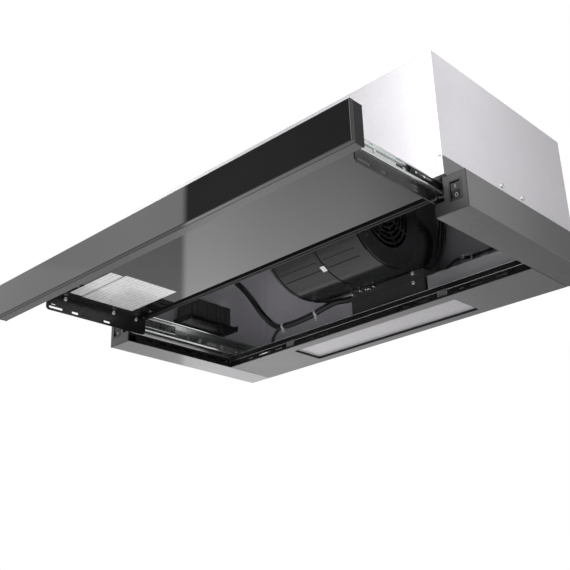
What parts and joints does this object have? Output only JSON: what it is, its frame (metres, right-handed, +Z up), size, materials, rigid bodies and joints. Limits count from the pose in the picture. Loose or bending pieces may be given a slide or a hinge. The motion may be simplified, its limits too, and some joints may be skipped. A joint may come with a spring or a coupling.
{
  "type": "under cabinet range hood",
  "caption": "Telescopic under-cabinet range hood with a pull-out glossy visor, galvanised box, side arms with rocker switches, rear light strip and a twin-inlet blower.",
  "frame": {"origin": "centre of the four cabinet fixing holes, on the top panel's upper face", "axes": "+X to the right seen from the front, along the hood's width; +Y from the visor to the back; +Z up, the way the fixing screws leave the top panel"},
  "size_m": [0.598, 0.462, 0.238],
  "materials": {
    "galvanised": "hot-dip galvanised sheet, fine spangle",
    "canopy_paint": "dark grey satin coat",
    "strip_paint": "dark grey satin coat, slightly flatter than the arms'",
    "cap_plastic": "fine-grained dark grey",
    "end_cap_plastic": "fine-grained dark grey, a shade darker than the arm caps",
    "black_steel": "semi-gloss black powder coat",
    "switch_plastic": "black",
    "rocker_plastic": "grey satin",
    "zinc_steel": "bright zinc plate",
    "screw_zinc": "bright zinc plate",
    "diffuser": "opal acrylic",
    "led_pcb": "white solder mask",
    "visor_glass": "black high gloss, glass-like",
    "visor_paint": "dark grey satin coat",
    "corner_plastic": "black",
    "label_foil": "satin silver foil, blank",
    "casing_plastic": "dark grey moulded, semi-gloss",
    "grille_plastic": "black moulded",
    "box_plastic": "dark grey moulded",
    "motor_steel": "rolled steel can",
    "cable_jacket": "black PVC",
    "tie_nylon": "natural nylon"
  },
  "bodies": {
    "housing": {"side_panel_left": "galvanised", "side_panel_right": "galvanised", "front_panel": "galvanised", "back_panel": "galvanised", "top_panel": "galvanised", "arm_cover_left": "canopy_paint", "arm_cover_right": "canopy_paint", "arm_cap_left": "cap_plastic", "arm_cap_right": "cap_plastic", "arm_liner_left": "black_steel", "arm_liner_right": "black_steel", "switch_body_left": "switch_plastic", "switch_body_right": "switch_plastic", "rear_cover": "strip_paint", "rear_channel": "black_steel", "filter_catches": "zinc_steel", "light_diffuser": "diffuser", "led_board": "led_pcb", "light_housing": "galvanised", "slide_outer_left": "zinc_steel", "slide_outer_right": "zinc_steel", "casing_left": "casing_plastic", "casing_right": "casing_plastic", "casing_clips": "zinc_steel", "inlet_grille_left": "grille_plastic", "inlet_grille_right": "grille_plastic", "motor": "motor_steel", "motor_bracket": "black_steel", "control_box": "box_plastic", "junction_box": "box_plastic", "junction_bracket": "black_steel", "wire_harness": "cable_jacket", "switch_lead": "cable_jacket", "cable_ties": "tie_nylon", "cable_gland": "grille_plastic", "outlet_collar": "grille_plastic", "damper_pin": "zinc_steel", "fasteners": "screw_zinc"},
    "visor": {"visor_front_panel": "visor_glass", "visor_frame": "visor_paint", "visor_end_cap_left": "end_cap_plastic", "visor_end_cap_right": "end_cap_plastic", "visor_panel": "visor_glass", "visor_rear_rail": "corner_plastic", "visor_bracket_left": "black_steel", "visor_bracket_right": "black_steel", "visor_corner_blocks": "corner_plastic", "visor_screws": "screw_zinc", "blank_labels": "label_foil", "slide_inner_left": "zinc_steel", "slide_inner_right": "zinc_steel"},
    "cage_left": {"ball_cage_left": "zinc_steel"},
    "cage_right": {"ball_cage_right": "zinc_steel"},
    "rocker_left": {"rocker_left": "rocker_plastic"},
    "rocker_right": {"rocker_right": "rocker_plastic"},
    "rotor": {"motor_shaft": "zinc_steel", "impeller_left": "grille_plastic", "impeller_right": "grille_plastic"},
    "flap_front": {"damper_flap_front": "grille_plastic"},
    "flap_rear": {"damper_flap_rear": "grille_plastic"}
  },
  "joints": [
    {"name": "visor_slide", "type": "slide", "parent": "housing", "child": "visor", "axis": [0, 1, 0], "range_m": [0, 0.161]},
    {"name": "cage_slide_left", "type": "slide", "parent": "housing", "child": "cage_left", "axis": [0, 1, 0], "range_m": [0, 0.081]},
    {"name": "cage_slide_right", "type": "slide", "parent": "housing", "child": "cage_right", "axis": [0, 1, 0], "range_m": [0, 0.081]},
    {"name": "rocker_left_press", "type": "hinge", "parent": "housing", "child": "rocker_left", "pos_m": [-0.2855, -0.1354, -0.17485], "axis": [-1, 0, 0], "range_deg": [0, 14]},
    {"name": "rocker_right_press", "type": "hinge", "parent": "housing", "child": "rocker_right", "pos_m": [0.2855, -0.1354, -0.17485], "axis": [-1, 0, 0], "range_deg": [0, 14]},
    {"name": "rotor_spin", "type": "hinge", "parent": "housing", "child": "rotor", "pos_m": [0.009, 0.008, -0.0765], "axis": [1, 0, 0], "continuous": true},
    {"name": "flap_front_swing", "type": "hinge", "parent": "housing", "child": "flap_front", "pos_m": [0, 0, 0.016], "axis": [-1, 0, 0], "range_deg": [0, 78]},
    {"name": "flap_rear_swing", "type": "hinge", "parent": "housing", "child": "flap_rear", "pos_m": [0, 0, 0.016], "axis": [1, 0, 0], "range_deg": [0, 78]}
  ],
  "couplings": [
    {"joint": "cage_slide_left", "follows": "visor_slide", "ratio": 0.5},
    {"joint": "cage_slide_right", "follows": "visor_slide", "ratio": 0.5}
  ]
}
